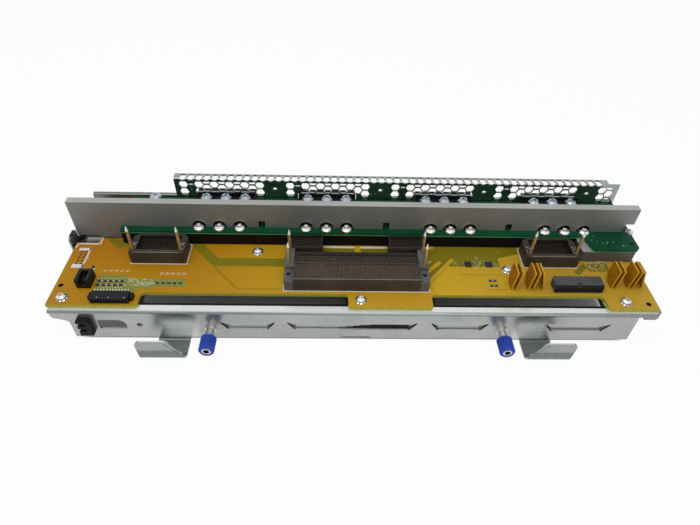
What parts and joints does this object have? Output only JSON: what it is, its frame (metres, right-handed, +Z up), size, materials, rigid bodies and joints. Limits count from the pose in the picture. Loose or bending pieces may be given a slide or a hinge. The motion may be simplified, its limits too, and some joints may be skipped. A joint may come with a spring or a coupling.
{
  "type": "power backplane board",
  "caption": "Server power backplane: ochre power board and raised midplane on a folded metal tray with a stiffener bar, honeycomb screen, guide-pin connectors, handles and captive thumbscrews.",
  "frame": {"origin": "centre of the bounding box at the bottom, where the handle tongues and the rear flange rest", "axes": "+X to the right along the board, +Y from the thumbscrews towards the honeycomb screen, +Z up"},
  "size_m": [0.438, 0.141, 0.0675],
  "materials": {
    "galvanised": "spangled galvanised sheet",
    "screen_steel": "bright punched sheet",
    "bar_metal": "brushed satin",
    "ochre_board": "ochre solder mask",
    "green_board": "green solder mask",
    "dark_casting": "dark speckled coat",
    "black_film": "black insulating film",
    "bright_screw": "bright nickel",
    "zinc": "zinc plated",
    "brown_plastic": "dark brown moulding",
    "grey_plastic": "grey moulding",
    "black_plastic": "black moulding",
    "pale_block": "pale grey moulding",
    "pin_metal": "plated pin",
    "contact_metal": "tinned lead",
    "fuse_coat": "amber coating",
    "chip_body": "black chip",
    "chip_ceramic": "pale ceramic chip",
    "blue_plastic": "royal blue moulding",
    "spring_steel": "drawn wire"
  },
  "bodies": {
    "frame": {"carrier_tray": "galvanised", "guide_block": "pale_block", "rear_rail": "galvanised", "honeycomb_screen": "screen_steel", "screen_rivets": "zinc", "rail_rivets": "zinc", "cable_clip": "black_plastic", "power_board": "ochre_board", "midplane_board": "green_board", "spacer_frame": "dark_casting", "insulator_strip": "black_film", "stiffener_bar": "bar_metal", "power_board_screws": "bright_screw", "power_board_washers": "zinc", "midplane_front_screws": "bright_screw", "midplane_rear_screws": "bright_screw", "corner_standoff": "zinc", "left_connector": "brown_plastic", "right_connector": "brown_plastic", "left_guide_pins": "pin_metal", "right_guide_pins": "pin_metal", "connector_screws": "zinc", "centre_connector": "brown_plastic", "centre_end_blocks": "grey_plastic", "centre_guide_pins": "pin_metal", "left_mezzanine": "brown_plastic", "right_mezzanine": "brown_plastic", "signal_header": "black_plastic", "signal_header_leads": "contact_metal", "fan_header": "black_plastic", "fan_header_pins": "contact_metal", "edge_connector": "black_plastic", "edge_connector_leads": "contact_metal", "controllers": "chip_body", "chip_resistors": "chip_body", "chip_capacitors": "chip_ceramic", "fuse_1": "fuse_coat", "fuse_2": "fuse_coat", "fuse_3": "fuse_coat", "fuse_4": "fuse_coat", "fuse_5": "fuse_coat", "fuse_6": "fuse_coat", "fuse_7": "fuse_coat", "fuse_8": "fuse_coat", "fuse_9": "fuse_coat", "fuse_10": "fuse_coat", "supply_connector_1": "black_plastic", "supply_connector_2": "black_plastic", "supply_connector_3": "black_plastic", "supply_connector_4": "black_plastic", "left_ferrule": "zinc", "right_ferrule": "zinc"},
    "left_carriage": {"left_retaining_ring": "zinc", "left_spring": "spring_steel"},
    "left_thumbscrew": {"left_knob": "blue_plastic", "left_screw": "zinc"},
    "right_carriage": {"right_retaining_ring": "zinc", "right_spring": "spring_steel"},
    "right_thumbscrew": {"right_knob": "blue_plastic", "right_screw": "zinc"}
  },
  "joints": [
    {"name": "left_thumbscrew_press", "type": "slide", "parent": "frame", "child": "left_carriage", "axis": [0, 1, 0], "range_m": [0, 0.004], "stiffness_N_per_m": 400, "springref_m": -0.004, "deforming": ["left_spring"]},
    {"name": "left_thumbscrew_turn", "type": "hinge", "parent": "left_carriage", "child": "left_thumbscrew", "pos_m": [-0.105, -0.0484, 0.0125], "axis": [0, 1, 0], "continuous": true},
    {"name": "right_thumbscrew_press", "type": "slide", "parent": "frame", "child": "right_carriage", "axis": [0, 1, 0], "range_m": [0, 0.004], "stiffness_N_per_m": 400, "springref_m": -0.004, "deforming": ["right_spring"]},
    {"name": "right_thumbscrew_turn", "type": "hinge", "parent": "right_carriage", "child": "right_thumbscrew", "pos_m": [0.105, -0.0484, 0.0125], "axis": [0, 1, 0], "continuous": true}
  ]
}
